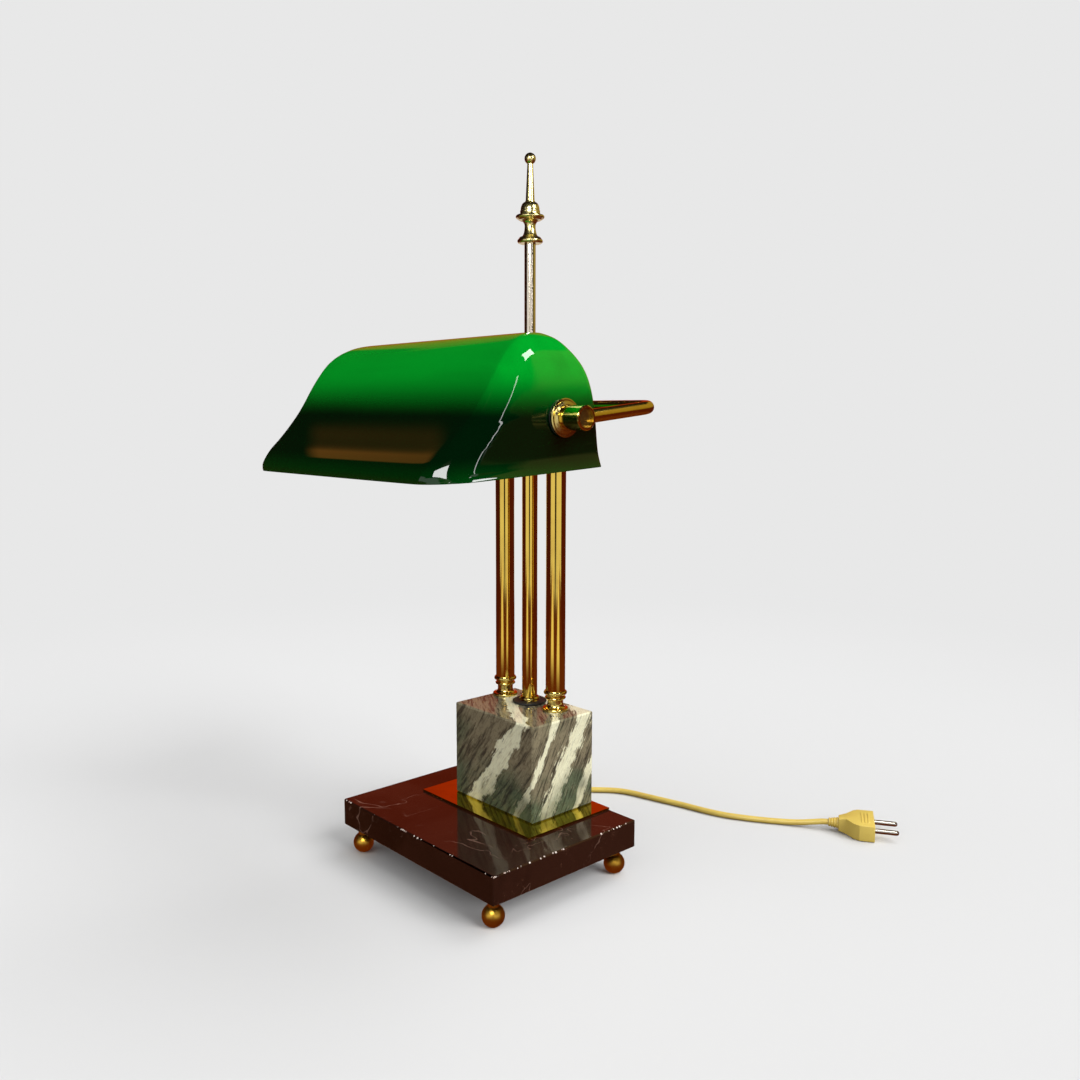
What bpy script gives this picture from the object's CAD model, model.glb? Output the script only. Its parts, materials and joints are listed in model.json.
"""A desk lamp with a green cased glass shade in a brass yoke, on a marble block and slab.

Metres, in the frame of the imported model: the table is z = 0, the stem stands on the Z axis and the
shade looks towards -Y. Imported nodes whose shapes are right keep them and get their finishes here.
The glass, both stones, the flex with what is on it and some small pieces are modelled again, finer
than their solids.
"""

from __future__ import annotations

import json
import logging
import math
import random
from dataclasses import dataclass
from enum import Enum
from typing import Any, Callable

import bmesh
import bpy
from mathutils import Matrix, Vector

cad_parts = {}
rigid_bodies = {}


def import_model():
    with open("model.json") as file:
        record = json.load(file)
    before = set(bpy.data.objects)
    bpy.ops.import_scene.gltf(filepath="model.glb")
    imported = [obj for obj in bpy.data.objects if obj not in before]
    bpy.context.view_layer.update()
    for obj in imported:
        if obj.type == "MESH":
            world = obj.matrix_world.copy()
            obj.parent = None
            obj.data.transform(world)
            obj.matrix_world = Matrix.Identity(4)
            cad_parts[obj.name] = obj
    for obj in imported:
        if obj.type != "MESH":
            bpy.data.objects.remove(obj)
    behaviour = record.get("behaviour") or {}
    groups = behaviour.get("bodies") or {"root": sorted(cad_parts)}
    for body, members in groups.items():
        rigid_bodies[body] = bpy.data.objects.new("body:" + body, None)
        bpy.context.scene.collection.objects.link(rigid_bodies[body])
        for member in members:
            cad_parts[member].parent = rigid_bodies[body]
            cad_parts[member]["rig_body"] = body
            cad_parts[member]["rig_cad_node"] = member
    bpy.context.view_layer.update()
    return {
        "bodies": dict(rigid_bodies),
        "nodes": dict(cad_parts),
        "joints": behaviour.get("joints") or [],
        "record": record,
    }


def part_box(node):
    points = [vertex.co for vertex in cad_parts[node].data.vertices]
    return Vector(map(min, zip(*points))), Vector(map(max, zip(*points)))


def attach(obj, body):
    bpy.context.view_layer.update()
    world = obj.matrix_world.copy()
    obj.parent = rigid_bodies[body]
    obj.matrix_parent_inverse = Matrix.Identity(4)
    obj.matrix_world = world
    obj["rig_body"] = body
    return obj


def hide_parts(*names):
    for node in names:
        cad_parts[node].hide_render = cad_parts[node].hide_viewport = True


LOG = logging.getLogger("lamp")

Colour = tuple[float, float, float]
Point = tuple[float, float, float]
Piece = bpy.types.Object

MM = 0.001
BACKGROUND = 0.807


# Shader maths


class Socket:
    """An output of a shader node that Python's arithmetic works on."""

    def __init__(self, graph: Graph, link: bpy.types.NodeSocket) -> None:
        """Wraps an output socket of a graph."""
        self.graph = graph
        self.link = link

    def _math(self, operation: str, *values: Any, clamp: bool = False) -> Socket:
        """Adds a Math node.

        Args:
            operation: Blender's name of the operation.
            values: its inputs in order, sockets or numbers.
            clamp: whether the result stays between 0 and 1.

        Returns:
            The node's result.
        """
        settings = {"operation": operation, "use_clamp": clamp}
        return self.graph.node("ShaderNodeMath", settings, dict(enumerate(values)))

    def __add__(self, other: Any) -> Socket:
        """Sum."""
        return self._math("ADD", self, other)

    def __radd__(self, other: Any) -> Socket:
        """Sum with a number on the left."""
        return self._math("ADD", other, self)

    def __sub__(self, other: Any) -> Socket:
        """Difference."""
        return self._math("SUBTRACT", self, other)

    def __rsub__(self, other: Any) -> Socket:
        """Difference with a number on the left."""
        return self._math("SUBTRACT", other, self)

    def __mul__(self, other: Any) -> Socket:
        """Product."""
        return self._math("MULTIPLY", self, other)

    def __rmul__(self, other: Any) -> Socket:
        """Product with a number on the left."""
        return self._math("MULTIPLY", other, self)

    def __truediv__(self, other: Any) -> Socket:
        """Quotient."""
        return self._math("DIVIDE", self, other)

    def __abs__(self) -> Socket:
        """Absolute value."""
        return self._math("ABSOLUTE", self)

    def clamp(self) -> Socket:
        """Keeps the value between 0 and 1."""
        return self._math("ADD", self, 0.0, clamp=True)

    def higher(self, other: Any) -> Socket:
        """The larger of two values."""
        return self._math("MAXIMUM", self, other)

    def wave(self, length: float) -> Socket:
        """A saw wave along the value that goes up and down between 0 and 1.

        Args:
            length: from crest to crest.

        Returns:
            The wave.
        """
        return self._math("PINGPONG", self / (length / 2), 1.0)

    def rise(self, low: float, high: float) -> Socket:
        """A smooth step.

        Args:
            low: value where the step starts at 0.
            high: value where it ends at 1.

        Returns:
            The step, from 0 to 1.
        """
        settings = {"interpolation_type": "SMOOTHSTEP"}
        sockets = {"Value": self, "From Min": low, "From Max": high}
        return self.graph.node("ShaderNodeMapRange", settings, sockets)

    def band(self, middle: float, width: float, soft: float) -> Socket:
        """A stripe of the value.

        Args:
            middle: value at the middle of the stripe.
            width: width of the stripe.
            soft: width of each of its soft edges.

        Returns:
            1 inside the stripe and 0 outside it.
        """
        off = abs(self - middle)
        return 1 - off.rise(width / 2 - soft / 2, width / 2 + soft / 2)


class Graph:
    """The nodes of one material."""

    def __init__(self, owner: bpy.types.Material | bpy.types.World) -> None:
        """Takes over a material or the world and clears its nodes."""
        owner.use_nodes = True
        self.tree = owner.node_tree
        self.tree.nodes.clear()
        kind = "Material" if isinstance(owner, bpy.types.Material) else "World"
        self.output = self.tree.nodes.new(f"ShaderNodeOutput{kind}")

    def node(
        self,
        kind: str,
        settings: dict[str, Any] | None = None,
        sockets: dict[int | str, Any] | None = None,
        out: int | str = 0,
    ) -> Socket:
        """Adds any node.

        Args:
            kind: Blender's type of the node.
            settings: its properties, set first; "stops" are a ramp's stops.
            sockets: values or links of its inputs, by name or number.
            out: the output that is wanted.

        Returns:
            That output.
        """
        made = self.tree.nodes.new(kind)
        for key, value in (settings or {}).items():
            if key == "stops":
                self._stops(made.color_ramp, value)
            else:
                setattr(made, key, value)
        for key, value in (sockets or {}).items():
            self.put(made.inputs[key], value)
        return Socket(self, made.outputs[out])

    def put(self, socket: bpy.types.NodeSocket, value: Any) -> None:
        """Links a socket, or sets its value."""
        if isinstance(value, Socket):
            self.tree.links.new(value.link, socket)
        elif socket.type == "RGBA":
            socket.default_value = (*value, 1.0)
        else:
            socket.default_value = value

    @staticmethod
    def _stops(ramp: bpy.types.ColorRamp, stops: list[tuple[float, Colour]]) -> None:
        """Sets the stops of a colour ramp."""
        for place, _ in stops[2:]:
            ramp.elements.new(place)
        for element, (place, colour) in zip(ramp.elements, stops, strict=True):
            element.position = place
            element.color = (*colour, 1.0)

    def place(self, middle: Point = (0, 0, 0), turn: Point = (0, 0, 0),
              size: Point = (1, 1, 1)) -> Socket:
        """The point of the surface in the object's own coordinates.

        Args:
            middle: moved by this much.
            turn: turned by these angles, in degrees.
            size: stretched by these factors.

        Returns:
            The point as a vector.
        """
        point = self.node("ShaderNodeTexCoord", out="Object")
        if (middle, turn, size) == ((0, 0, 0), (0, 0, 0), (1, 1, 1)):
            return point
        sockets = {
            "Vector": point,
            "Location": middle,
            "Rotation": tuple(math.radians(a) for a in turn),
            "Scale": size,
        }
        return self.node("ShaderNodeMapping", {"vector_type": "POINT"}, sockets)

    def axis(self, vector: Socket, number: int) -> Socket:
        """One coordinate of a vector."""
        return self.node("ShaderNodeSeparateXYZ", sockets={0: vector}, out=number)

    def vector(self, operation: str, *values: Any, out: str = "Vector") -> Socket:
        """Adds a Vector Math node.

        Args:
            operation: Blender's name of the operation.
            values: its inputs in order.
            out: "Vector" or "Value".

        Returns:
            That output.
        """
        settings = {"operation": operation}
        made = self.node("ShaderNodeVectorMath", settings, dict(enumerate(values)), out)
        return made

    def scaled(self, vector: Any, factor: Any) -> Socket:
        """A vector times a number."""
        return self.node("ShaderNodeVectorMath", {"operation": "SCALE"}, {0: vector, 3: factor})

    def noise(self, vector: Socket, scale: float, detail: float = 3.0,
              rough: float = 0.55, swirl: float = 0.0) -> Socket:
        """Noise from 0 to 1.

        Args:
            vector: where it is read.
            scale: features in a metre.
            detail: number of octaves.
            rough: strength of the finer ones.
            swirl: how far it is distorted.

        Returns:
            The noise.
        """
        sockets = {"Vector": vector, "Scale": scale, "Detail": detail, "Roughness": rough,
                   "Distortion": swirl}
        return self.node("ShaderNodeTexNoise", sockets=sockets)

    def cells(self, vector: Socket, scale: float, feature: str = "F1") -> Socket:
        """Distance from the cells' middles or edges of a Voronoi pattern."""
        return self.node("ShaderNodeTexVoronoi", {"feature": feature},
                         {"Vector": vector, "Scale": scale}, out="Distance")

    def mix(self, first: Any, second: Any, share: Any, blend: str = "MIX") -> Socket:
        """Mixes two colours.

        Args:
            first: colour at share 0.
            second: colour at share 1.
            share: a value or a socket.
            blend: Blender's name of the way they mix.

        Returns:
            The colour.
        """
        settings = {"data_type": "RGBA", "blend_type": blend}
        return self.node("ShaderNodeMix", settings, {0: share, 6: first, 7: second}, out=2)

    def bump(self, height: Socket, depth: float, strength: float = 1.0) -> Socket:
        """A normal from a height.

        Args:
            height: from 0 to 1.
            depth: metres that a height of 1 stands for.
            strength: share of the effect.

        Returns:
            The normal.
        """
        sockets = {"Strength": strength, "Distance": depth, "Height": height}
        return self.node("ShaderNodeBump", sockets=sockets, out="Normal")

    def surface(self, **sockets: Any) -> None:
        """Ends the graph in a principled shader.

        Args:
            sockets: its inputs, with underscores for spaces.
        """
        named = {key.replace("_", " "): value for key, value in sockets.items()}
        shader = self.node("ShaderNodeBsdfPrincipled", sockets=named)
        self.put(self.output.inputs["Surface"], shader)


# Finishes


class Grain(Enum):
    """Direction of the fine lines that a finish has, as stretch factors of their noise."""

    ROUND = (40, 40, 2400)
    ALONG_Z = (1800, 1800, 16)
    ROUND_X = (2400, 40, 40)
    FLAT = (500, 500, 500)


MADE: dict[str, bpy.types.Material] = {}


class Finish:
    """A finish of a surface. Its material is made once."""

    name: str

    def shade(self, graph: Graph) -> None:
        """Builds the finish's nodes."""
        raise NotImplementedError

    def material(self) -> bpy.types.Material:
        """The finish's material, made at the first call."""
        if self.name not in MADE:
            MADE[self.name] = bpy.data.materials.new(self.name)
            self.shade(Graph(MADE[self.name]))
        return MADE[self.name]

    def dress(self, piece: Piece) -> None:
        """Gives the finish to a whole piece."""
        piece.data.materials.clear()
        piece.data.materials.append(self.material())


@dataclass(frozen=True)
class Metal(Finish):
    """Turned or drawn metal with fine lines, cloudy tarnish and small pits."""

    name: str
    colour: Colour
    tarnish: Colour
    polish: float = 0.12
    cloud: float = 0.5
    grain: Grain = Grain.FLAT
    pits: float = 0.5

    def shade(self, graph: Graph) -> None:
        """Builds the metal: colour, roughness and lines."""
        point = graph.place()
        lines = graph.noise(graph.place(size=self.grain.value), 1, 2, 0.6)
        clouds = graph.noise(point, 26, 4, 0.6, 0.4)
        spots = graph.cells(point, 420)
        pitted = (1 - spots.rise(0.05, 0.16)) * graph.noise(point, 60, 2).rise(0.55, 0.7)
        dull = (clouds.rise(0.42, 0.75) * self.cloud + pitted * self.pits).clamp()
        graph.surface(
            Base_Color=graph.mix(self.colour, self.tarnish, dull),
            Metallic=1.0,
            Roughness=self.polish + dull * 0.10 + (lines - 0.5) * 0.04,
            Normal=graph.bump(lines - pitted * 0.6, 0.00002, 0.2),
        )


@dataclass(frozen=True)
class Threaded(Finish):
    """A threaded rod or nipple: ridges across its axis, dark and oily in the grooves."""

    name: str
    colour: Colour
    groove: Colour
    axis: int
    pitch: float = 1.0

    def shade(self, graph: Graph) -> None:
        """Builds the ridges."""
        point = graph.place()
        ridge = graph.axis(point, self.axis).wave(self.pitch * MM)
        grime = graph.noise(point, 180, 3, 0.6)
        graph.surface(
            Base_Color=graph.mix(self.groove, self.colour, ridge * 0.8 + grime * 0.2),
            Metallic=1.0,
            Roughness=0.42 - ridge * 0.14 + grime * 0.08,
            Normal=graph.bump(ridge, 0.0005, 0.8),
        )


@dataclass(frozen=True)
class Plain(Finish):
    """Rubber, plastic or ceramic: one colour with slight clouds and a fine skin."""

    name: str
    colour: Colour
    shadow: Colour
    rough: float = 0.4
    skin: float = 0.00005
    scale: float = 900

    def shade(self, graph: Graph) -> None:
        """Builds the clouds and the skin."""
        point = graph.place()
        clouds = graph.noise(point, 45, 4)
        grain = graph.noise(point, self.scale, 3, 0.6)
        graph.surface(
            Base_Color=graph.mix(self.colour, self.shadow, clouds.rise(0.4, 0.75) * 0.6 + grain * 0.2),
            Roughness=self.rough + (grain - 0.5) * 0.12,
            Normal=graph.bump(grain, self.skin, 0.5),
        )


@dataclass(frozen=True)
class RedMarble(Finish):
    """Polished dark red-brown marble, mottled, with a few thin pale veins and dull scuffs."""

    name: str = "polished_red_marble"
    dark: Colour = (0.012, 0.0045, 0.003)
    body: Colour = (0.025, 0.0088, 0.0055)
    light: Colour = (0.115, 0.052, 0.033)
    vein: Colour = (0.34, 0.20, 0.15)

    def shade(self, graph: Graph) -> None:
        """Builds the mottling, the veins and the scuffs."""
        point = graph.place()
        broad = graph.noise(point, 16, 5, 0.62, 0.6)
        specks = graph.noise(point, 260, 4, 0.7)
        patches = graph.noise(graph.place(middle=(3, 1, 2)), 30, 4, 0.6)
        body = graph.mix(self.dark, self.body, broad.rise(0.32, 0.62))
        body = graph.mix(body, self.light, specks.rise(0.54, 0.8) * patches.rise(0.45, 0.7) * 0.8)
        wander = graph.noise(point, 9, 4, 0.55, 1.0)
        vein = wander.band(0.5, 0.004, 0.004) * patches.rise(0.42, 0.6)
        scuffs = graph.noise(graph.place(turn=(0, 0, 35), size=(160, 900, 200)), 1, 3, 0.6)
        graph.surface(
            Base_Color=graph.mix(body, self.vein, vein * 0.45),
            Roughness=0.06 + specks * 0.05 + scuffs.rise(0.55, 0.8) * 0.08,
            Normal=graph.bump(specks, 0.00002, 0.25),
        )


@dataclass(frozen=True)
class VeinedMarble(Finish):
    """Polished grey-brown and green marble with cream veins that lie in slanting layers."""

    name: str = "polished_veined_marble"
    across: Point = (-0.53, -0.75, 0.395)
    brown: Colour = (0.250, 0.213, 0.133)
    green: Colour = (0.112, 0.140, 0.082)
    dark: Colour = (0.030, 0.028, 0.022)
    cream: Colour = (0.86, 0.84, 0.60)
    shadow: Colour = (0.52, 0.45, 0.27)
    veins: tuple[tuple[float, float, float], ...] = (
        (0.0585, 0.0098, 0.5), (0.0330, 0.0050, 1.4), (0.0125, 0.0138, 1.7), (-0.0115, 0.0066, 1.2),
    )

    def shade(self, graph: Graph) -> None:
        """Builds the layers from the height across them, with streaks along them."""
        point = graph.place()
        height = graph.vector("DOT_PRODUCT", point, self.across, out="Value")
        layered = graph.vector("ADD", graph.scaled(point, 48), graph.scaled(self.across, height * 460))
        streaks = graph.noise(layered, 1, 4, 0.62, 0.3)
        strands = graph.noise(layered, 2.6, 4, 0.65)
        broad = graph.noise(point, 26, 3, 0.55)
        thick = graph.noise(graph.place(middle=(5, 2, 7)), 75, 3, 0.6)
        specks = graph.noise(point, 420, 3, 0.7)
        height = height + (broad - 0.5) * 0.011 + (streaks - 0.5) * 0.006
        torn = None
        for middle, width, tear in self.veins:
            reach = abs(height - middle) / (thick * 2.4 - 0.2).higher(0.2)
            vein = 1 - reach.rise(width * 0.15, width * 0.8) + (strands - 0.56) * tear * 1.6
            vein = vein.rise(0.32, 0.62)
            torn = vein if torn is None else torn.higher(vein)
        above = graph.vector("DOT_PRODUCT", point, (0, 0, 1), out="Value").rise(0.055, 0.115)
        mossy = graph.noise(point, 19, 3, 0.5) - (above - 0.5) * 0.22
        ground = graph.mix(self.brown, self.green, mossy.rise(0.42, 0.62))
        ground = graph.mix(ground, self.dark, streaks.rise(0.42, 0.66) * 0.85)
        ground = graph.mix(ground, self.shadow, strands.rise(0.56, 0.78) * 0.5)
        ground = graph.mix(ground, self.dark, specks.rise(0.50, 0.70) * 0.45)
        cream = graph.mix(self.cream, self.shadow, strands.rise(0.45, 0.75) * 0.7)
        cream = graph.mix(cream, self.brown, streaks.rise(0.55, 0.70) * 0.8)
        cream = graph.mix(cream, self.shadow, specks.rise(0.52, 0.75) * 0.45)
        cream = graph.mix(cream, ground, mossy.rise(0.46, 0.66) * 0.7)
        graph.surface(
            Base_Color=graph.mix(ground, cream, torn),
            Roughness=0.09 + strands * 0.07,
            Normal=graph.bump(strands, 0.00003, 0.3),
        )


@dataclass(frozen=True)
class Fracture(Finish):
    """The dull, crushed face of a chip in polished stone."""

    name: str
    pale: Colour
    body: Colour

    def shade(self, graph: Graph) -> None:
        """Builds the grains of the broken face."""
        point = graph.place()
        grains = graph.noise(point, 1400, 3, 0.7)
        patches = graph.noise(point, 120, 3, 0.6)
        graph.surface(
            Base_Color=graph.mix(self.body, self.pale, (patches.rise(0.38, 0.6) * 0.7 + grains * 0.3)),
            Roughness=0.62 + grains * 0.2,
            Normal=graph.bump(grains, 0.00012, 0.8),
        )


@dataclass(frozen=True)
class CasedGlass(Finish):
    """Glossy green glass cased over white. The green is deepest above the flared rim."""

    name: str = "cased_green_glass"
    bright: Colour = (0.0, 0.33, 0.019)
    deep: Colour = (0.0, 0.008, 0.0015)
    low: float = 0.341
    high: float = 0.372
    rough: float = 0.03

    def shade(self, graph: Graph) -> None:
        """Builds the depth of colour, the streaks, the seeds and the glossy skin."""
        point = graph.place()
        streaks = graph.noise(graph.place(size=(6, 30, 30)), 1, 3, 0.5, 0.4)
        seeds = (1 - graph.cells(point, 160).rise(0.03, 0.07)) * 0.25
        up = graph.axis(point, 2) + (streaks - 0.5) * 0.006
        glow = up.rise(self.low, self.high)
        thin = (1 - (streaks.rise(0.35, 0.8) * 0.22 + seeds)).clamp()
        wave = graph.noise(point, 22, 2, 0.4)
        graph.surface(
            Base_Color=graph.mix(self.deep, self.bright, glow * thin + (1 - up.rise(0.296, 0.318)) * 0.12),
            Roughness=self.rough + seeds * 0.2,
            IOR=1.52,
            Normal=graph.bump(wave, 0.0004, 0.10),
        )


# Brass, steel and plastics of the lamp

TURNED = Metal("turned_lacquered_brass", (0.88, 0.69, 0.21), (0.50, 0.28, 0.07), 0.14,
               grain=Grain.ROUND)
FINIAL = Metal("softly_polished_brass", (0.84, 0.74, 0.34), (0.56, 0.41, 0.16), 0.24,
               grain=Grain.ROUND)
TUBE = Metal("drawn_lacquered_brass", (0.87, 0.61, 0.11), (0.42, 0.19, 0.04), 0.07, 0.35,
             Grain.ALONG_Z, 0.9)
BARREL = Metal("polished_barrel_brass", (0.90, 0.70, 0.16), (0.48, 0.30, 0.06), 0.12, 0.4, Grain.ROUND_X)
FLANGE = Metal("flange_brass", (0.74, 0.60, 0.22), (0.30, 0.19, 0.05), 0.16, 0.7, Grain.ROUND_X)
AGED = Metal("aged_plug_brass", (0.36, 0.24, 0.07), (0.14, 0.08, 0.03), 0.30, 0.8, Grain.ROUND_X)
PALE = Metal("pale_polished_brass", (0.86, 0.76, 0.63), (0.54, 0.42, 0.30), 0.14, 0.3, Grain.ALONG_Z)
SATIN = Metal("satin_ball_brass", (0.78, 0.47, 0.06), (0.42, 0.19, 0.02), 0.34, 0.8)
PLATE = Metal("polished_plate_brass", (0.76, 0.60, 0.035), (0.48, 0.28, 0.02), 0.07, 0.4)
RAW = Metal("machined_brass", (0.70, 0.54, 0.22), (0.42, 0.28, 0.10), 0.30, grain=Grain.ROUND)
SOCKET = Metal("satin_holder_brass", (0.78, 0.58, 0.24), (0.50, 0.33, 0.12), 0.24,
               grain=Grain.ROUND_X)
ZINC = Metal("zinc_plated_steel", (0.62, 0.62, 0.60), (0.40, 0.39, 0.36), 0.30)
NICKEL = Metal("nickel_plated_pins", (0.74, 0.71, 0.64), (0.48, 0.44, 0.37), 0.16)
ROD = Threaded("threaded_steel", (0.60, 0.60, 0.58), (0.16, 0.15, 0.13), 2)
PIPE = Threaded("threaded_pipe", (0.62, 0.58, 0.48), (0.17, 0.14, 0.09), 2)
NIPPLE = Threaded("threaded_nipples", (0.72, 0.54, 0.22), (0.24, 0.15, 0.05), 0, 0.8)
RUBBER = Plain("moulded_black_rubber", (0.015, 0.014, 0.014), (0.03, 0.028, 0.026), 0.55)
BLACK = Plain("moulded_black_plastic", (0.012, 0.012, 0.013), (0.02, 0.02, 0.02), 0.25)
IVORY = Plain("moulded_ivory_plastic", (0.72, 0.68, 0.55), (0.60, 0.54, 0.40), 0.35)
SLEEVE = Plain("wire_sleeve", (0.74, 0.71, 0.60), (0.62, 0.57, 0.45), 0.40)
CERAMIC = Plain("glazed_ceramic", (0.78, 0.76, 0.70), (0.66, 0.62, 0.55), 0.12)
GOLD = Plain("moulded_gold_plastic", (0.80, 0.60, 0.13), (0.68, 0.46, 0.09), 0.34)
OPAL = Plain("blown_opal_glass", (0.86, 0.84, 0.79), (0.80, 0.77, 0.70), 0.10)
RED_CHIP = Fracture("chipped_red_marble", (0.80, 0.74, 0.68), (0.30, 0.17, 0.13))
GREY_CHIP = Fracture("chipped_veined_marble", (0.66, 0.64, 0.52), (0.22, 0.20, 0.15))


# Modelling by hand


class Pick(Enum):
    """What is selected in edit mode, as the mesh's list and Blender's select mode."""

    VERTS = ("verts", "VERT")
    EDGES = ("edges", "EDGE")
    FACES = ("faces", "FACE")


def select(*pieces: Piece) -> None:
    """Selects only these pieces. The first becomes the active one."""
    bpy.ops.object.select_all(action="DESELECT")
    for piece in pieces:
        piece.select_set(True)
    bpy.context.view_layer.objects.active = pieces[0]


def start_edit(piece: Piece) -> None:
    """Enters edit mode on a piece with nothing selected."""
    select(piece)
    bpy.ops.object.mode_set(mode="EDIT")
    bpy.ops.mesh.select_all(action="DESELECT")


def end_edit() -> None:
    """Leaves edit mode."""
    bpy.ops.object.mode_set(mode="OBJECT")


def pick(piece: Piece, part: Pick, test: Callable[[Any], bool]) -> None:
    """Selects in edit mode.

    Args:
        piece: the piece that is edited.
        part: corners, edges or faces.
        test: says whether one of them is selected.
    """
    items, mode = part.value
    bpy.ops.mesh.select_mode(type=mode)
    bpy.ops.mesh.select_all(action="DESELECT")
    mesh = bmesh.from_edit_mesh(piece.data)
    for item in getattr(mesh, items):
        item.select_set(test(item))
    mesh.select_flush_mode()
    bmesh.update_edit_mesh(piece.data)


def runs_along(edge: bmesh.types.BMEdge, axis: int) -> bool:
    """Whether an edge is parallel to an axis."""
    run = edge.verts[1].co - edge.verts[0].co
    return abs(run[axis]) > 0.98 * run.length


def apply(piece: Piece, kind: str, **settings: Any) -> None:
    """Adds a modifier and applies it.

    Args:
        piece: the mesh that it changes.
        kind: Blender's type of the modifier.
        settings: its properties.
    """
    select(piece)
    modifier = piece.modifiers.new(kind.lower(), kind)
    for key, value in settings.items():
        setattr(modifier, key, value)
    bpy.ops.object.modifier_apply(modifier=modifier.name)


def settle(piece: Piece) -> None:
    """Puts a piece's place, turn and scale into its mesh."""
    select(piece)
    bpy.ops.object.transform_apply(location=True, rotation=True, scale=True)


def smooth(piece: Piece, angle: float) -> None:
    """Turns the faces outwards and shades them smooth up to an angle in degrees."""
    start_edit(piece)
    bpy.ops.mesh.select_all(action="SELECT")
    bpy.ops.mesh.remove_doubles(threshold=0.01 * MM)
    bpy.ops.mesh.normals_make_consistent(inside=False)
    end_edit()
    bpy.ops.object.shade_smooth_by_angle(angle=math.radians(angle))


def join(first: Piece, *others: Piece) -> Piece:
    """Joins pieces into the first one, and returns it."""
    select(first, *others)
    bpy.ops.object.join()
    return first


def copy_of(node: Piece, name: str) -> Piece:
    """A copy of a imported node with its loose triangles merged.

    Args:
        node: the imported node.
        name: name of the copy.

    Returns:
        The copy, which rides on nothing yet.
    """
    copy = node.copy()
    copy.data = node.data.copy()
    copy.name = name
    copy.parent = None
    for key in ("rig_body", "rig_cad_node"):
        if key in copy:
            del copy[key]
    bpy.context.scene.collection.objects.link(copy)
    start_edit(copy)
    bpy.ops.mesh.select_all(action="SELECT")
    bpy.ops.mesh.customdata_custom_splitnormals_clear()
    bpy.ops.mesh.remove_doubles(threshold=0.02 * MM)
    bpy.ops.mesh.dissolve_limited(angle_limit=math.radians(0.05))
    end_edit()
    return copy


def turned(name: str, outline: list[tuple[float, float]], sides: int = 48) -> Piece:
    """A closed round piece on the Z axis, drawn up ring by ring from its foot.

    Args:
        name: its name.
        outline: radius and height of each ring in millimetres.
        sides: number of corners of a ring.

    Returns:
        The piece.
    """
    wide, high = outline[0]
    bpy.ops.object.select_all(action="DESELECT")
    bpy.ops.mesh.primitive_circle_add(vertices=sides, radius=wide * MM, fill_type="NGON",
                                      location=(0, 0, high * MM))
    piece = bpy.context.active_object
    piece.name = name
    settle(piece)
    bpy.ops.object.mode_set(mode="EDIT")
    bpy.ops.mesh.select_all(action="SELECT")
    for radius, height in outline[1:]:
        lift = {"value": (0, 0, (height - high) * MM)}
        bpy.ops.mesh.extrude_region_move(TRANSFORM_OT_translate=lift)
        grow = radius / wide
        bpy.ops.transform.resize(value=(grow, grow, 1), center_override=(0, 0, height * MM))
        wide, high = radius, height
    end_edit()
    smooth(piece, 34)
    return piece


def rounded_box(name: str, low: Point, high: Point, radius: float, segments: int = 3) -> Piece:
    """A box with rounded edges.

    Args:
        name: its name.
        low: lowest corner in millimetres.
        high: highest corner.
        radius: of its edges.
        segments: faces across each rounding.

    Returns:
        The piece.
    """
    middle = [(a + b) / 2 * MM for a, b in zip(low, high)]
    size = [(b - a) * MM for a, b in zip(low, high)]
    bpy.ops.object.select_all(action="DESELECT")
    bpy.ops.mesh.primitive_cube_add(size=1, location=middle, scale=size)
    piece = bpy.context.active_object
    piece.name = name
    settle(piece)
    bpy.ops.object.mode_set(mode="EDIT")
    bpy.ops.mesh.select_all(action="SELECT")
    bpy.ops.mesh.bevel(offset=radius * MM, segments=segments, affect="EDGES")
    end_edit()
    smooth(piece, 40)
    return piece


def stand(piece: Piece, at: Point, turn: Point = (0, 0, 0)) -> Piece:
    """Moves and turns a piece to its place.

    Args:
        piece: modelled round the origin.
        at: its place in millimetres.
        turn: its turn in degrees.

    Returns:
        The piece.
    """
    piece.location = Vector(at) * MM
    piece.rotation_euler = tuple(math.radians(a) for a in turn)
    settle(piece)
    return piece


# The lamp's sub-assemblies


@dataclass
class Assembly:
    """A sub-assembly on one body of the frame."""

    frame: dict[str, Any]
    body: str = "base"

    def node(self, name: str) -> Piece:
        """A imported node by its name."""
        return self.frame["nodes"][name]

    def finish(self, finish: Finish, *names: str) -> None:
        """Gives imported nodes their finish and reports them.

        Args:
            finish: the finish.
            names: names of the nodes.
        """
        for name in names:
            finish.dress(self.node(name))
            LOG.info("%-20s %s", name, finish.name)

    def add(self, piece: Piece, slot: str, *nodes: str, body: str | None = None) -> None:
        """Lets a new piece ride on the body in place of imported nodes, and reports it.

        Args:
            piece: the new piece, dressed.
            slot: the record's material slot.
            nodes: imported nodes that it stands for.
            body: another body than the assembly's.
        """
        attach(piece, body or self.body)
        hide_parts(*nodes)
        LOG.info("%-20s stands for %s", piece.name, ", ".join(nodes))


@dataclass(frozen=True)
class Arris:
    """A stone edge in millimetres with its chips, which a high crowd gathers near its start."""

    start: Point
    end: Point
    chips: int
    largest: float
    crowd: float = 1.0


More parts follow.
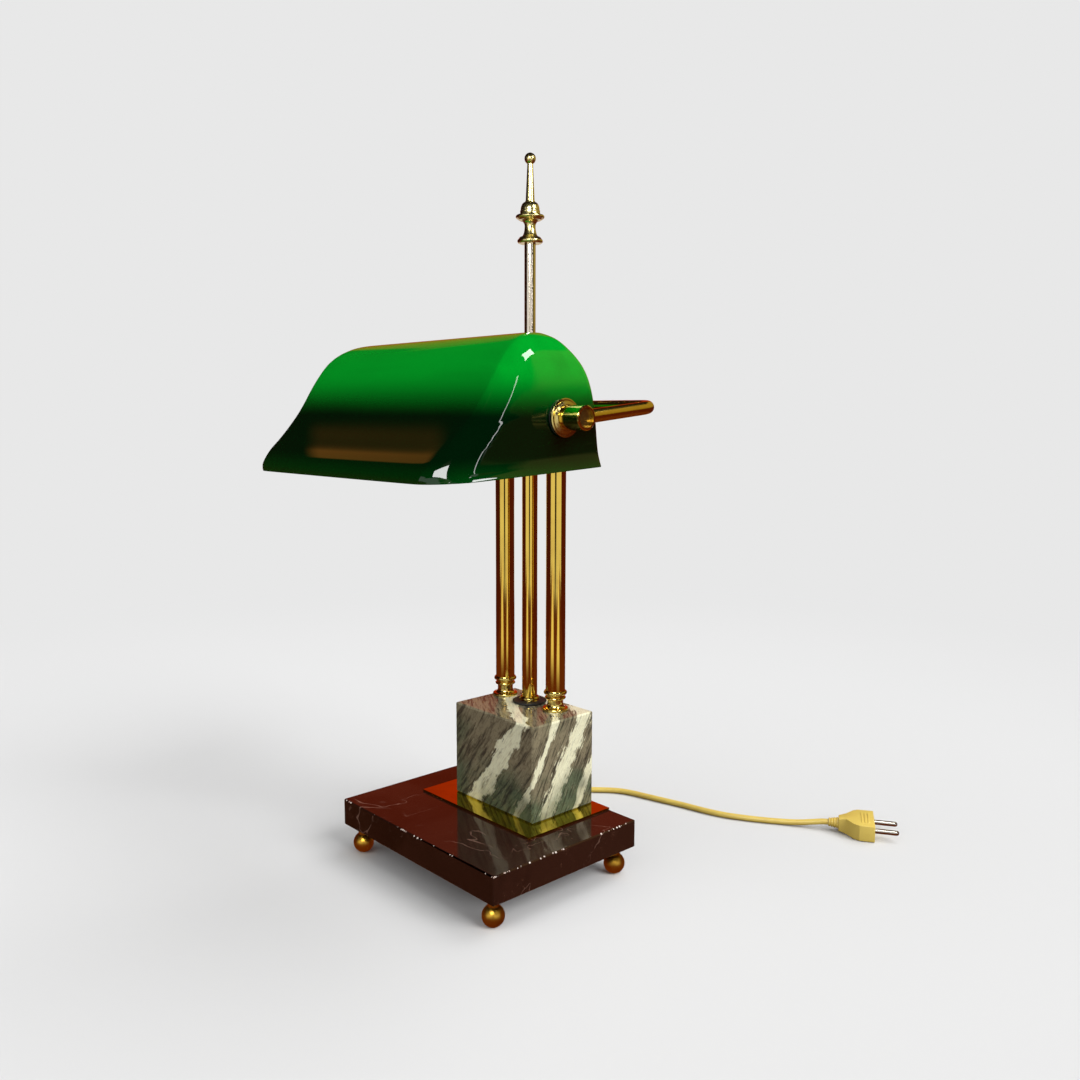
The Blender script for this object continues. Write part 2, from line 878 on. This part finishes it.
@dataclass
class Base(Assembly):
    """Ball feet, marble slab, brass plate and marble block, with the fastenings in them."""

    seed: int = 7
    near_chips: int = 120
    far_chips: int = 9
    corner_chip: float = 1.7

    def corners(self, name: str) -> tuple[Point, Point]:
        """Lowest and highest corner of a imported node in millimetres."""
        low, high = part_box(name)
        return tuple(low / MM), tuple(high / MM)

    def top_edges(self, name: str, near: int, far: int, largest: float) -> list[Arris]:
        """The edges round a stone's top, with most chips on the two that face the front.

        Args:
            name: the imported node.
            near: number of chips on the front and right edges.
            far: number on the others.
            largest: size of the largest chip.

        Returns:
            The edges.
        """
        (x0, y0, _), (x1, y1, z) = self.corners(name)
        return [
            Arris((x1, y0, z), (x0, y0, z), near, largest, 1.7),
            Arris((x1, y0, z), (x1, y1, z), near, largest, 1.3),
            Arris((x0, y1, z), (x1, y1, z), far, largest * 0.8),
            Arris((x0, y0, z), (x0, y1, z), far, largest * 0.8),
        ]

    def chip(self, stone: Piece, edges: list[Arris], broken: Finish) -> None:
        """Breaks small chips out of a stone's edges.

        Args:
            stone: the stone, dressed.
            edges: its chipped edges.
            broken: finish of the broken faces.
        """
        dice = random.Random(self.seed)
        flakes = []
        for edge in edges:
            start, end = Vector(edge.start), Vector(edge.end)
            for _ in range(edge.chips):
                size = edge.largest * (0.2 + 0.8 * dice.random() ** 3)
                spot = start.lerp(end, dice.random() ** edge.crowd)
                turn = tuple(dice.uniform(0, math.tau) for _ in range(3))
                shape = tuple(dice.uniform(0.6, 1.5) for _ in range(3))
                bpy.ops.object.select_all(action="DESELECT")
                bpy.ops.mesh.primitive_ico_sphere_add(subdivisions=2, radius=size * MM,
                                                      location=spot * MM, rotation=turn)
                flake = bpy.context.active_object
                flake.scale = shape
                flakes.append(flake)
        cutter = join(*flakes)
        broken.dress(cutter)
        stone.data.materials.append(broken.material())
        apply(stone, "BOOLEAN", object=cutter, operation="DIFFERENCE", solver="EXACT",
              use_self=True, material_mode="TRANSFER")
        bpy.data.objects.remove(cutter)
        smooth(stone, 30)

    def slab(self) -> Piece:
        """The marble slab with worn upper edges and a broken near corner.

        Returns:
            The slab.
        """
        slab = copy_of(self.node("base_slab"), "marble_slab")
        RedMarble().dress(slab)
        (_, y0, z0), (x1, _, z1) = self.corners("base_slab")
        edges = self.top_edges("base_slab", self.near_chips, self.far_chips, 1.0)
        edges.append(Arris((x1, y0, z1), (x1 - 2, y0, z1), 2, self.corner_chip))
        edges.append(Arris((x1, y0, z0), (x1, y0, z1), 4, 0.9))
        self.chip(slab, edges, RED_CHIP)
        return slab

    def block(self) -> Piece:
        """The veined block with a few small chips round its top.

        Returns:
            The block.
        """
        block = copy_of(self.node("marble_block"), "veined_block")
        VeinedMarble().dress(block)
        self.chip(block, self.top_edges("marble_block", 6, 4, 1.0), GREY_CHIP)
        return block

    def build(self) -> None:
        """Builds the stones and dresses the rest."""
        self.add(self.slab(), "red_marble", "base_slab")
        self.add(self.block(), "green_marble", "marble_block")
        self.finish(SATIN, "feet")
        self.finish(PLATE, "plinth_plate")
        self.finish(ROD, "tie_rods")
        self.finish(ZINC, "base_washers", "base_nuts")


@dataclass
class Columns(Assembly):
    """The two tube columns with their turned collars and caps."""

    sides: tuple[str, ...] = ("left", "right")

    def build(self) -> None:
        """Dresses collars, tubes and caps."""
        for side in self.sides:
            self.finish(TURNED, f"column_collar_{side}", f"column_cap_{side}")
            self.finish(TUBE, f"column_tube_{side}")


@dataclass
class Stem(Assembly):
    """The stem with its gasket and ferrule, the hub on it, and the rod and finial above."""

    def build(self) -> None:
        """Dresses the stem from its foot to the finial's ball."""
        self.finish(RUBBER, "stem_gasket")
        self.finish(TURNED, "stem_ferrule", "stem_hub")
        self.finish(FINIAL, "finial_base", "finial_cup", "finial_spire")
        self.finish(TUBE, "stem_tube")
        self.finish(PIPE, "stem_pipe")
        self.finish(ZINC, "pipe_washer", "pipe_nut", "hub_set_screw")
        self.finish(PALE, "upper_rod")
        self.finish(ROD, "top_tie_rod")
        self.finish(SLEEVE, "stem_wire")


@dataclass
class Yoke(Assembly):
    """The bent yoke tube with the barrels, nipples and washers that hold the glass."""

    body: str = "yoke"

    def build(self) -> None:
        """Dresses the yoke and its fittings."""
        self.finish(YOKE_TUBE, "yoke_tube")
        self.finish(BARREL, "barrel_left", "barrel_right")
        self.finish(FLANGE, "flange_washers")
        self.finish(AGED, "barrel_plugs")
        self.finish(RAW, "inner_washers", "pivot_nut")
        self.finish(NIPPLE, "pivot_nipples")
        self.finish(SLEEVE, "yoke_wire")


YOKE_TUBE = Metal("bent_lacquered_brass", (0.92, 0.66, 0.13), (0.60, 0.28, 0.05), 0.16, 0.4,
                  Grain.FLAT, 0.6)


@dataclass
class Lampholder(Assembly):
    """The lampholder inside the shade with its turn switch, and the opal bulb."""

    body: str = "yoke"
    stem_radius: float = 3.0
    disc_radius: float = 4.0
    paddle: tuple[float, float, float] = (11.0, 2.8, 8.5)

    def key(self) -> Piece:
        """The switch's turn key: a stem with a collar and a rounded paddle.

        Returns:
            The key.
        """
        low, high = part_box("switch_key")
        middle = (low + high) / 2 / MM
        top = high.z / MM
        r, disc = self.stem_radius, self.disc_radius
        stem = turned("turn_key", [
            (r - 0.4, -8.6), (r, -8.2), (r, -6.4), (disc - 0.3, -6.4), (disc, -6.1), (disc, -3.7),
            (disc - 0.3, -3.4), (r, -3.4), (r, -0.4), (r - 0.4, 0),
        ], 32)
        wide, thick, tall = self.paddle
        foot = -(high.z - low.z) / MM
        paddle = rounded_box("paddle", (-wide / 2, -thick / 2, foot), (wide / 2, thick / 2, foot + tall),
                             1.2, 4)
        start_edit(paddle)
        pick(paddle, Pick.FACES, lambda f: abs(f.normal.y) > 0.99)
        bpy.ops.mesh.inset(thickness=1.0 * MM)
        bpy.ops.transform.resize(value=(1, 0.72, 1), center_override=(0, 0, 0))
        end_edit()
        smooth(paddle, 40)
        return stand(join(stem, paddle), (middle.x, middle.y, top))

    def build(self) -> None:
        """Builds the key and dresses holder and bulb."""
        key = self.key()
        BLACK.dress(key)
        self.add(key, "black_plastic", "switch_key", body="switch_key")
        self.finish(SOCKET, "holder_cap", "holder_shell")
        self.finish(RAW, "holder_contact", "bulb_cap")
        self.finish(CERAMIC, "holder_liner")
        self.finish(BLACK, "bulb_contact")
        self.finish(OPAL, "bulb_glass")


class Face(Enum):
    """Sides of the cased glass, as material slots."""

    OUTSIDE = 0
    INSIDE = 1


@dataclass
class Shade(Assembly):
    """The glass shade as one smooth shell, green outside and white inside, with its bushes."""

    body: str = "shade"
    core: Point = (-5.0, -52.0, 300.0)
    crease_from: float = 15.0
    crease_to: float = 27.0
    rim_from: float = 50.0
    rim_crease: float = 0.55

    def glass(self) -> Piece:
        """Smooths a copy of the faceted solid.

        Returns:
            The smooth glass.
        """
        glass = copy_of(self.node("glass_shade"), "shade_glass")
        start_edit(glass)
        bpy.ops.mesh.select_all(action="SELECT")
        wide = math.radians(60)
        bpy.ops.mesh.tris_convert_to_quads(face_threshold=wide, shape_threshold=wide)
        self.crease(glass)
        end_edit()
        apply(glass, "SUBSURF", levels=2, render_levels=2)
        self.split(glass)
        bpy.ops.object.shade_smooth_by_angle(angle=math.radians(34))
        return glass

    def crease(self, glass: Piece) -> None:
        """Keeps the ridges between front corners and ends, and the rim's edges, sharper."""
        mesh = bmesh.from_edit_mesh(glass.data)
        layer = mesh.edges.layers.float.new("crease_edge")
        for edge in mesh.edges:
            if len(edge.link_faces) != 2:
                continue
            angle = math.degrees(edge.calc_face_angle(0))
            run = edge.verts[1].co - edge.verts[0].co
            upright = abs(run.x) < 0.35 * run.length
            if angle > self.rim_from:
                edge[layer] = self.rim_crease
            elif self.crease_from < angle < self.crease_to and upright:
                edge[layer] = 0.9
        bmesh.update_edit_mesh(glass.data)

    def split(self, glass: Piece) -> None:
        """Gives the faces that look at the shade's middle the white inner finish."""
        CasedGlass().dress(glass)
        glass.data.materials.append(OPAL.material())
        core = Vector(self.core) * MM
        for face in glass.data.polygons:
            inward = face.normal.dot(face.center - core) < 0 and face.center.z > core.z + 0.009
            face.material_index = Face.INSIDE.value if inward else Face.OUTSIDE.value

    def build(self) -> None:
        """Builds the glass and dresses what turns with it."""
        self.add(self.glass(), "green_glass", "glass_shade")
        self.finish(RUBBER, "shade_rubbers")
        self.finish(IVORY, "shade_bushes")


@dataclass
class Flex(Assembly):
    """The flex with its tapered bush, the band round its coil and its plug."""

    wide: float = 5.0
    length: float = 1.84
    coil_mid: tuple[float, float] = (-92.5, 90.0)
    coil_radius: float = 41.5
    coil_step: float = 5.6
    coil_turns: float = 3.75
    coil_low: float = 3.2
    coil_high: float = 8.8
    way_out: tuple[Point, ...] = (
        (0, 41.5, 27), (-1.7, 51.4, 26.5), (-6.4, 58.6, 25), (-13.6, 63.3, 22.5),
        (-22, 65, 19.3), (-30, 65, 16.3), (-38.3, 66.6, 13.4), (-45, 71, 11),
        (-49.4, 77.7, 9.3), (-51, 85, 8.8),
    )
    way_on: tuple[Point, ...] = (
        (-51, 95, 3.2), (-49.6, 102, 3), (-45.6, 108.6, 2.7), (-40, 114.6, 2.6),
        (-34, 120.5, 2.6), (-27.4, 126.4, 2.6), (-20, 131.4, 2.6), (-11, 135, 2.6),
        (-1, 137.5, 2.6), (9, 140, 2.6), (21, 143, 2.6), (35, 146.5, 2.6), (50, 149.5, 2.6),
        (64, 152.5, 2.6), (78, 157, 2.6), (91, 163.5, 2.6), (103, 170.5, 2.6),
        (116, 178.8, 2.8), (130, 187.5, 3.8), (140, 193.8, 5.6), (146, 197.5, 6.7),
        (150, 200, 7),
    )
    plug_turn: float = 32.0
    plug_thick: float = 12.8
    plug_outline: tuple[tuple[float, float], ...] = (
        (8.0, 5.0), (14.0, 6.5), (20.0, 15.0), (24.0, 17.4), (36.0, 17.6),
    )

    def coil_point(self, loops: float) -> Point:
        """A point of the coil: in along the upper layer, down, and out along the lower one."""
        back = self.coil_turns + 0.5
        drop = min(max((loops - self.coil_turns) / 0.5, 0), 1)
        inner = self.coil_radius - self.coil_step * self.coil_turns
        if loops < self.coil_turns:
            radius = self.coil_radius - self.coil_step * loops
        elif loops > back:
            radius = inner + self.coil_step * (loops - back)
        else:
            radius = inner - 0.8 * math.sin(math.pi * drop)
        angle = 2 * math.pi * loops
        x, y = self.coil_mid
        z = self.coil_high + (self.coil_low - self.coil_high) * drop
        return (x + radius * math.cos(angle), y + radius * math.sin(angle), z)

    def route(self) -> list[Vector]:
        """The whole route in metres."""
        loops = 2 * self.coil_turns + 0.5
        coil = [self.coil_point(i / 24) for i in range(int(24 * loops) + 1)]
        return [Vector(p) * MM for p in (*self.way_out, *coil, *self.way_on)]

    def line(self) -> Piece:
        """Lays the flex as one smooth curve.

        Returns:
            The curve.
        """
        data = bpy.data.curves.new("flex", "CURVE")
        data.dimensions = "3D"
        route = self.route()
        spline = data.splines.new("BEZIER")
        spline.bezier_points.add(len(route) - 1)
        for knot, point in zip(spline.bezier_points, route, strict=True):
            knot.co = point
            knot.handle_left_type = knot.handle_right_type = "AUTO"
        spline.resolution_u = 4
        data.bevel_depth = self.wide * MM / 2
        data.bevel_resolution = 3
        data.use_fill_caps = True
        flex = bpy.data.objects.new("flex", data)
        bpy.context.scene.collection.objects.link(flex)
        return flex

    def bush(self) -> Piece:
        """The ribbed, tapered bush behind the slab.

        Returns:
            The bush.
        """
        low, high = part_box("cord_bush")
        long = (high.y - low.y) / MM
        shank, collar, ribs, pitch = 7.0, 1.6, 5, 3.4
        outline = [(3.6, 0), (3.9, 0.4), (3.9, shank), (5.7, shank), (6.0, shank + 0.3),
                   (6.0, shank + collar - 0.3), (5.7, shank + collar)]
        for i in range(ribs):
            foot = shank + collar + 0.6 + pitch * i
            radius = 5.0 - 0.36 * i
            outline += [(radius - 0.75, foot), (radius - 0.15, foot + 0.15), (radius, foot + 0.5),
                        (radius - 0.1, foot + 1.7), (radius - 0.95, foot + 2.2)]
        outline += [(3.2, long - 0.5), (2.9, long)]
        return stand(turned("flex_bush", outline), (0, low.y / MM, (low.z + high.z) / 2 / MM), (-90, 0, 0))

    def tie(self) -> Piece:
        """The band round the coil: a strap bent round with rounded corners, and its end.

        Returns:
            The band.
        """
        low, high = (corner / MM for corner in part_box("cord_tie"))
        strap = 0.9
        bpy.ops.object.select_all(action="DESELECT")
        bpy.ops.mesh.primitive_cube_add(size=1, location=(low + high) / 2 * MM, scale=(high - low) * MM)
        band = bpy.context.active_object
        band.name = "coil_band"
        settle(band)
        start_edit(band)
        pick(band, Pick.FACES, lambda f: abs(f.normal.y) > 0.9)
        bpy.ops.mesh.delete(type="ONLY_FACE")
        pick(band, Pick.EDGES, lambda e: runs_along(e, 1))
        bpy.ops.mesh.bevel(offset=3.4 * MM, segments=6, affect="EDGES")
        end_edit()
        apply(band, "SOLIDIFY", thickness=strap * MM, offset=-1)
        apply(band, "BEVEL", width=0.2 * MM, segments=2, limit_method="ANGLE")
        end = rounded_box("end", (low.x + 5, low.y + 0.3, high.z - 0.2), (low.x + 16, high.y - 0.3, high.z + 0.7),
                          0.35)
        join(band, end)
        smooth(band, 40)
        return band

    def plug(self) -> Piece:
        """The plug's body: a flat rounded grip with finger bars and a ribbed neck.

        Returns:
            The body.
        """
        (near, half), *sections = self.plug_outline
        tall = self.plug_thick
        bpy.ops.object.select_all(action="DESELECT")
        bpy.ops.mesh.primitive_cube_add(size=1, location=((near + 0.5) * MM, 0, 0),
                                        scale=(MM, 2 * half * MM, tall * 0.8 * MM))
        body = bpy.context.active_object
        body.name = "plug_shell"
        settle(body)
        start_edit(body)
        pick(body, Pick.FACES, lambda f: f.normal.x > 0.9)
        near += 1
        for along, wide in sections:
            bpy.ops.mesh.extrude_region_move(TRANSFORM_OT_translate={"value": ((along - near) * MM, 0, 0)})
            up = 1.25 if near < 10 else 1
            bpy.ops.transform.resize(value=(1, wide / half, up), center_override=(along * MM, 0, 0))
            near, half = along, wide
        bpy.ops.mesh.inset(thickness=3.0 * MM)
        bpy.ops.mesh.extrude_region_move(TRANSFORM_OT_translate={"value": (-0.5 * MM, 0, 0)})
        pick(body, Pick.EDGES, lambda e: e.calc_face_angle(0) > math.radians(25))
        bpy.ops.mesh.bevel(offset=1.7 * MM, segments=4, affect="EDGES", clamp_overlap=True)
        end_edit()
        smooth(body, 40)
        bars = [
            rounded_box("bar", (25.6 + 2.6 * i, -10, side * tall / 2 - 0.4),
                        (27.0 + 2.6 * i, 10, side * tall / 2 + 0.4), 0.35)
            for i in range(3) for side in (-1, 1)
        ]
        neck = []
        for i in range(4):
            foot, radius = 2.1 * i, 3.5 + 0.35 * i
            neck += [(radius - 0.5, foot), (radius, foot + 0.25), (radius, foot + 1.25),
                     (radius - 0.5, foot + 1.5)]
        neck += [(4.6, 8.4), (4.6, 9.0)]
        cone = stand(turned("neck", neck, 32), (0, 0, 0), (0, 90, 0))
        return stand(join(body, cone, *bars), self.way_on[-1], (0, 0, self.plug_turn))

    def build(self) -> None:
        """Lays the flex and makes what is on it."""
        made = (
            (self.bush(), GOLD, "gold_plastic", ["cord_bush"]),
            (self.tie(), BLACK, "black_plastic", ["cord_tie"]),
            (self.plug(), GOLD, "gold_plastic", ["plug_body"]),
            (self.line(), GOLD, "gold_plastic", ["flex_exit", "flex_coil", "flex_lead"]),
        )
        for piece, finish, slot, nodes in made:
            finish.dress(piece)
            self.add(piece, slot, *nodes)
        self.finish(NICKEL, "plug_pins")
        self.wide * MM
        self.node("plug_pins")


# The studio


@dataclass(frozen=True)
class Card:
    """A soft-edged card that only reflections show, in metres and degrees."""

    name: str
    at: Point
    turn: float
    wide: float
    high: float
    foot: Colour
    head: Colour
    soft: float = 0.12
    blend: tuple[float, float] = (0.0, 0.75)
    flat: bool = False

    def build(self) -> None:
        """Makes the card and its glow."""
        bpy.ops.object.select_all(action="DESELECT")
        tilt = 0 if self.flat else math.pi / 2
        bpy.ops.mesh.primitive_plane_add(size=1, location=self.at,
                                         rotation=(tilt, 0, math.radians(self.turn)))
        plane = bpy.context.active_object
        plane.name = self.name
        plane.scale = (self.wide, self.high, 1)
        material = bpy.data.materials.new(self.name)
        graph = Graph(material)
        spot = graph.node("ShaderNodeTexCoord", out="UV")
        across, up = graph.axis(spot, 0), graph.axis(spot, 1)
        tone = graph.mix(self.foot, self.head, up.rise(*self.blend))
        glow = graph.node("ShaderNodeEmission", sockets={"Color": tone, "Strength": 1.0})
        clear = graph.node("ShaderNodeBsdfTransparent")
        share = 1.0
        for way in (across, up):
            share = (0.5 - abs(way - 0.5)).rise(0, self.soft) * share
        both = graph.node("ShaderNodeMixShader", sockets={0: share, 1: clear, 2: glow})
        graph.put(graph.output.inputs["Surface"], both)
        plane.data.materials.append(material)
        plane.visible_camera = plane.visible_diffuse = plane.visible_shadow = False
        plane.visible_transmission = plane.visible_volume_scatter = False


@dataclass(frozen=True)
class Lamp:
    """A soft light from one direction: turn from the camera and tip above the table, in degrees."""

    name: str
    turn: float
    tip: float
    soft: float
    strength: float


@dataclass(frozen=True)
class Window:
    """A bright rectangle that gloss shows: its direction and size in degrees from the shade's corner."""

    name: str
    turn: float
    tip: float
    far: float
    wide: float
    high: float
    glow: float = 15.0


TABLE: Colour = (0.13, 0.030, 0.007)
STRIP: Colour = (0.90, 0.84, 0.70)
ROOM: Colour = (0.010, 0.006, 0.004)
SIDE_FOOT: Colour = (0.085, 0.013, 0.005)
SIDE_HEAD: Colour = (0.010, 0.004, 0.002)
RIGHT_HEAD: Colour = (0.34, 0.26, 0.06)
FRONT_HEAD: Colour = (0.34, 0.31, 0.20)
WALL_FOOT: Colour = (0.40, 0.032, 0.005)
WALL_HEAD: Colour = (0.03, 0.008, 0.003)
SHELF_FRONT: Colour = (0.56, 0.20, 0.03)
SHELF_BACK: Colour = (0.13, 0.045, 0.010)


@dataclass
class Studio:
    """Camera, floor, soft lamps, windows and cards."""

    eye: Point = (0.5723, -0.5173, 0.3433)
    azimuth: float = 47.3
    pitch: float = 7.18
    roll: float = 0.13
    lens: float = 33.32
    middle: Point = (0.0, -0.03, 0.2)
    ambient: float = 0.22
    bounce: float = 0.25
    floor_tone: float = 0.705
    lamps: tuple[Lamp, ...] = (
        Lamp("key", 51, 36, 38, 2.6),
        Lamp("fill", -45, 25, 90, 1.25),
        Lamp("overhead", 115, 62, 45, 1.15),
    )
    corner: Point = (0.106, -0.12, 0.35)
    windows: tuple[Window, ...] = (
        Window("window_top", 82, 46, 0.45, 18, 17),
        Window("window_slit", 59, 19, 0.5, 2.8, 19, 8.0),
        Window("window_left", -12, 29, 0.75, 30, 18),
    )

    def around(self, turn: float, tip: float, far: float, start: Point | None = None) -> Vector:
        """A point in a direction.

        Args:
            turn: degrees from the camera's side, to the right of the picture.
            tip: degrees above the table.
            far: distance in metres.
            start: where the direction starts, by default the lamp's middle.

        Returns:
            The point.
        """
        a, e = math.radians(self.azimuth + turn), math.radians(tip)
        ray = Vector((math.sin(a) * math.cos(e), -math.cos(a) * math.cos(e), math.sin(e)))
        return Vector(start or self.middle) + far * ray

    def camera(self) -> None:
        """Sets the camera at the photograph's place and angle."""
        turn, tip, roll = (math.radians(a) for a in (self.azimuth, self.pitch, self.roll))
        back = Vector((math.sin(turn) * math.cos(tip), -math.cos(turn) * math.cos(tip), math.sin(tip)))
        side = Vector((math.cos(turn), math.sin(turn), 0))
        over = back.cross(side)
        right = math.cos(roll) * side + math.sin(roll) * over
        over = math.cos(roll) * over - math.sin(roll) * side
        data = bpy.data.cameras.new("camera")
        data.sensor_width = 36
        data.lens = self.lens
        data.clip_start, data.clip_end = 0.01, 60
        camera = bpy.data.objects.new("camera", data)
        axes = Matrix((right, over, back)).transposed().to_4x4()
        camera.matrix_world = Matrix.Translation(self.eye) @ axes
        bpy.context.scene.collection.objects.link(camera)
        bpy.context.scene.camera = camera

    def hang(self, data: bpy.types.Light, at: Vector, target: Point) -> Piece:
        """Hangs a light at a point.

        Args:
            data: the light.
            at: its place.
            target: the point that it is aimed at.

        Returns:
            The light's object.
        """
        light = bpy.data.objects.new(data.name, data)
        light.location = at
        light.rotation_mode = "QUATERNION"
        light.rotation_quaternion = (Vector(target) - at).to_track_quat("-Z", "Y")
        bpy.context.scene.collection.objects.link(light)
        return light

    def lamp(self, lamp: Lamp) -> None:
        """A wide soft light that gloss doesn't show."""
        data = bpy.data.lights.new(lamp.name, "SUN")
        data.angle = math.radians(lamp.soft)
        data.energy = lamp.strength
        at = self.around(lamp.turn, lamp.tip, 3)
        self.hang(data, at, self.middle).visible_glossy = False

    def window(self, window: Window) -> None:
        """A bright rectangle that only gloss shows."""
        data = bpy.data.lights.new(window.name, "AREA")
        data.shape = "RECTANGLE"
        data.size, data.size_y = (
            2 * window.far * math.tan(math.radians(angle / 2)) for angle in (window.wide, window.high)
        )
        data.energy = math.pi * data.size * data.size_y * window.glow
        at = self.around(window.turn, window.tip, window.far, self.corner)
        light = self.hang(data, at, self.corner)
        light.visible_diffuse = light.visible_camera = False

    def upright(self, name: str, turn: float, far: float, wide: float, high: tuple[float, float],
                foot: Colour, head: Colour, **settings: Any) -> Card:
        """A card that stands round the lamp and faces it.

        Args:
            name: its name.
            turn: its direction from the lamp's middle.
            far: its distance.
            wide: its width.
            high: heights of its lower and upper edge.
            foot: colour below.
            head: colour above.
            settings: the card's other settings.

        Returns:
            The card.
        """
        at = self.around(turn, 0, far)
        low, top = high
        return Card(name, (at.x, at.y, (low + top) / 2), self.azimuth + turn, wide, top - low, foot,
                    head, **settings)

    def flat(self, name: str, turn: float, far: float, height: float, wide: float, deep: float,
             tone: Colour, soft: float) -> Card:
        """A level card in one colour.

        Args:
            name: its name.
            turn: direction of its middle from the lamp's middle.
            far: distance of its middle.
            height: above the table.
            wide: its width.
            deep: its depth.
            tone: its colour.
            soft: share of its size that fades out at each edge.

        Returns:
            The card.
        """
        at = self.around(turn, 0, far)
        return Card(name, (at.x, at.y, height), self.azimuth + turn, wide, deep, tone, tone, soft,
                    flat=True)

    def cards(self) -> list[Card]:
        """A dim room for the gloss: sides, a warm wall behind, ceiling, table and a shelf."""
        low = -0.15
        return [
            self.upright("card_left", -110, 0.70, 1.6, (low, 1.0), SIDE_FOOT, SIDE_HEAD, soft=0.06),
            self.upright("card_right", 110, 0.70, 1.6, (low, 1.0), SIDE_FOOT, RIGHT_HEAD, soft=0.06,
                         blend=(0.48, 0.54)),
            self.upright("card_jamb", 56, 0.80, 0.60, (0.38, 1.2), ROOM, ROOM, soft=0.10),
            self.upright("card_front", -3, 0.90, 0.36, (low, 1.2), ROOM, FRONT_HEAD, soft=0.25,
                         blend=(0.42, 0.52)),
            self.upright("card_lintel", 5, 0.95, 2.2, (0.60, 1.25), ROOM, ROOM, soft=0.06),
            self.upright("card_wall", 180, 3.0, 6.0, (low, 4.0), WALL_FOOT, WALL_HEAD, soft=0.08,
                         blend=(0.3, 0.8)),
            self.flat("card_ceiling", 0, 0.45, 1.15, 3.4, 3.3, ROOM, 0.06),
            self.flat("card_table", 0, 0.0, 0.0006, 2.4, 2.4, TABLE, 0.10),
            self.flat("card_strip_left", -36, 1.0, 0.0009, 0.50, 1.1, STRIP, 0.22),
            self.flat("card_strip_right", 33, 1.0, 0.0009, 0.46, 1.1, STRIP, 0.22),
            Card("card_shelf", (-0.083, -0.1673, 0.390), 0, 0.21, 0.0395, SHELF_FRONT, SHELF_BACK,
                 0.15, (0.62, 0.90), True),
        ]

    @staticmethod
    def seen(graph: Graph) -> Socket:
        """1 for rays from the camera, and for reflected and refracted ones."""
        rays = [graph.node("ShaderNodeLightPath", out=out)
                for out in ("Is Camera Ray", "Is Glossy Ray", "Is Transmission Ray")]
        return rays[0].higher(rays[1]).higher(rays[2])

    def floor(self) -> None:
        """A pale floor that keeps the lamp's shadow and fades into the background."""
        bpy.ops.object.select_all(action="DESELECT")
        bpy.ops.mesh.primitive_circle_add(vertices=96, radius=30, fill_type="NGON")
        floor = bpy.context.active_object
        floor.name = "floor"
        material = bpy.data.materials.new("pale_floor")
        graph = Graph(material)
        seen = self.seen(graph)
        tone = graph.mix((self.bounce,) * 3, (self.floor_tone,) * 3, seen)
        matt = graph.node("ShaderNodeBsdfDiffuse", sockets={"Color": tone})
        glow = graph.node("ShaderNodeEmission", sockets={"Color": (BACKGROUND,) * 3, "Strength": 1.0})
        far = graph.vector("LENGTH", graph.place(), out="Value")
        share = far.rise(0.42, 1.2) * seen
        both = graph.node("ShaderNodeMixShader", sockets={0: share, 1: matt, 2: glow})
        graph.put(graph.output.inputs["Surface"], both)
        floor.data.materials.append(material)

    def world(self) -> None:
        """The background, which is pale where it is seen and dim as a light."""
        world = bpy.data.worlds.new("studio")
        bpy.context.scene.world = world
        graph = Graph(world)
        strength = self.ambient + self.seen(graph) * (BACKGROUND - self.ambient)
        back = graph.node("ShaderNodeBackground", sockets={"Color": (1, 1, 1), "Strength": strength})
        graph.put(graph.output.inputs["Surface"], back)

    def build(self) -> None:
        """Sets up the whole studio."""
        bpy.context.scene.view_settings.view_transform = "Standard"
        self.camera()
        self.floor()
        self.world()
        for lamp in self.lamps:
            self.lamp(lamp)
        for window in self.windows:
            self.window(window)
        for card in self.cards():
            card.build()


def main() -> None:
    """Builds the studio and the lamp's sub-assemblies, and notes both boxes."""
    logging.basicConfig(level=logging.INFO, format="%(name)s: %(message)s")
    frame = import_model()
    Studio().build()
    for assembly in (Flex, Base, Columns, Stem, Yoke, Lampholder, Shade):
        assembly(frame).build()


if __name__ == "__main__":
    main()
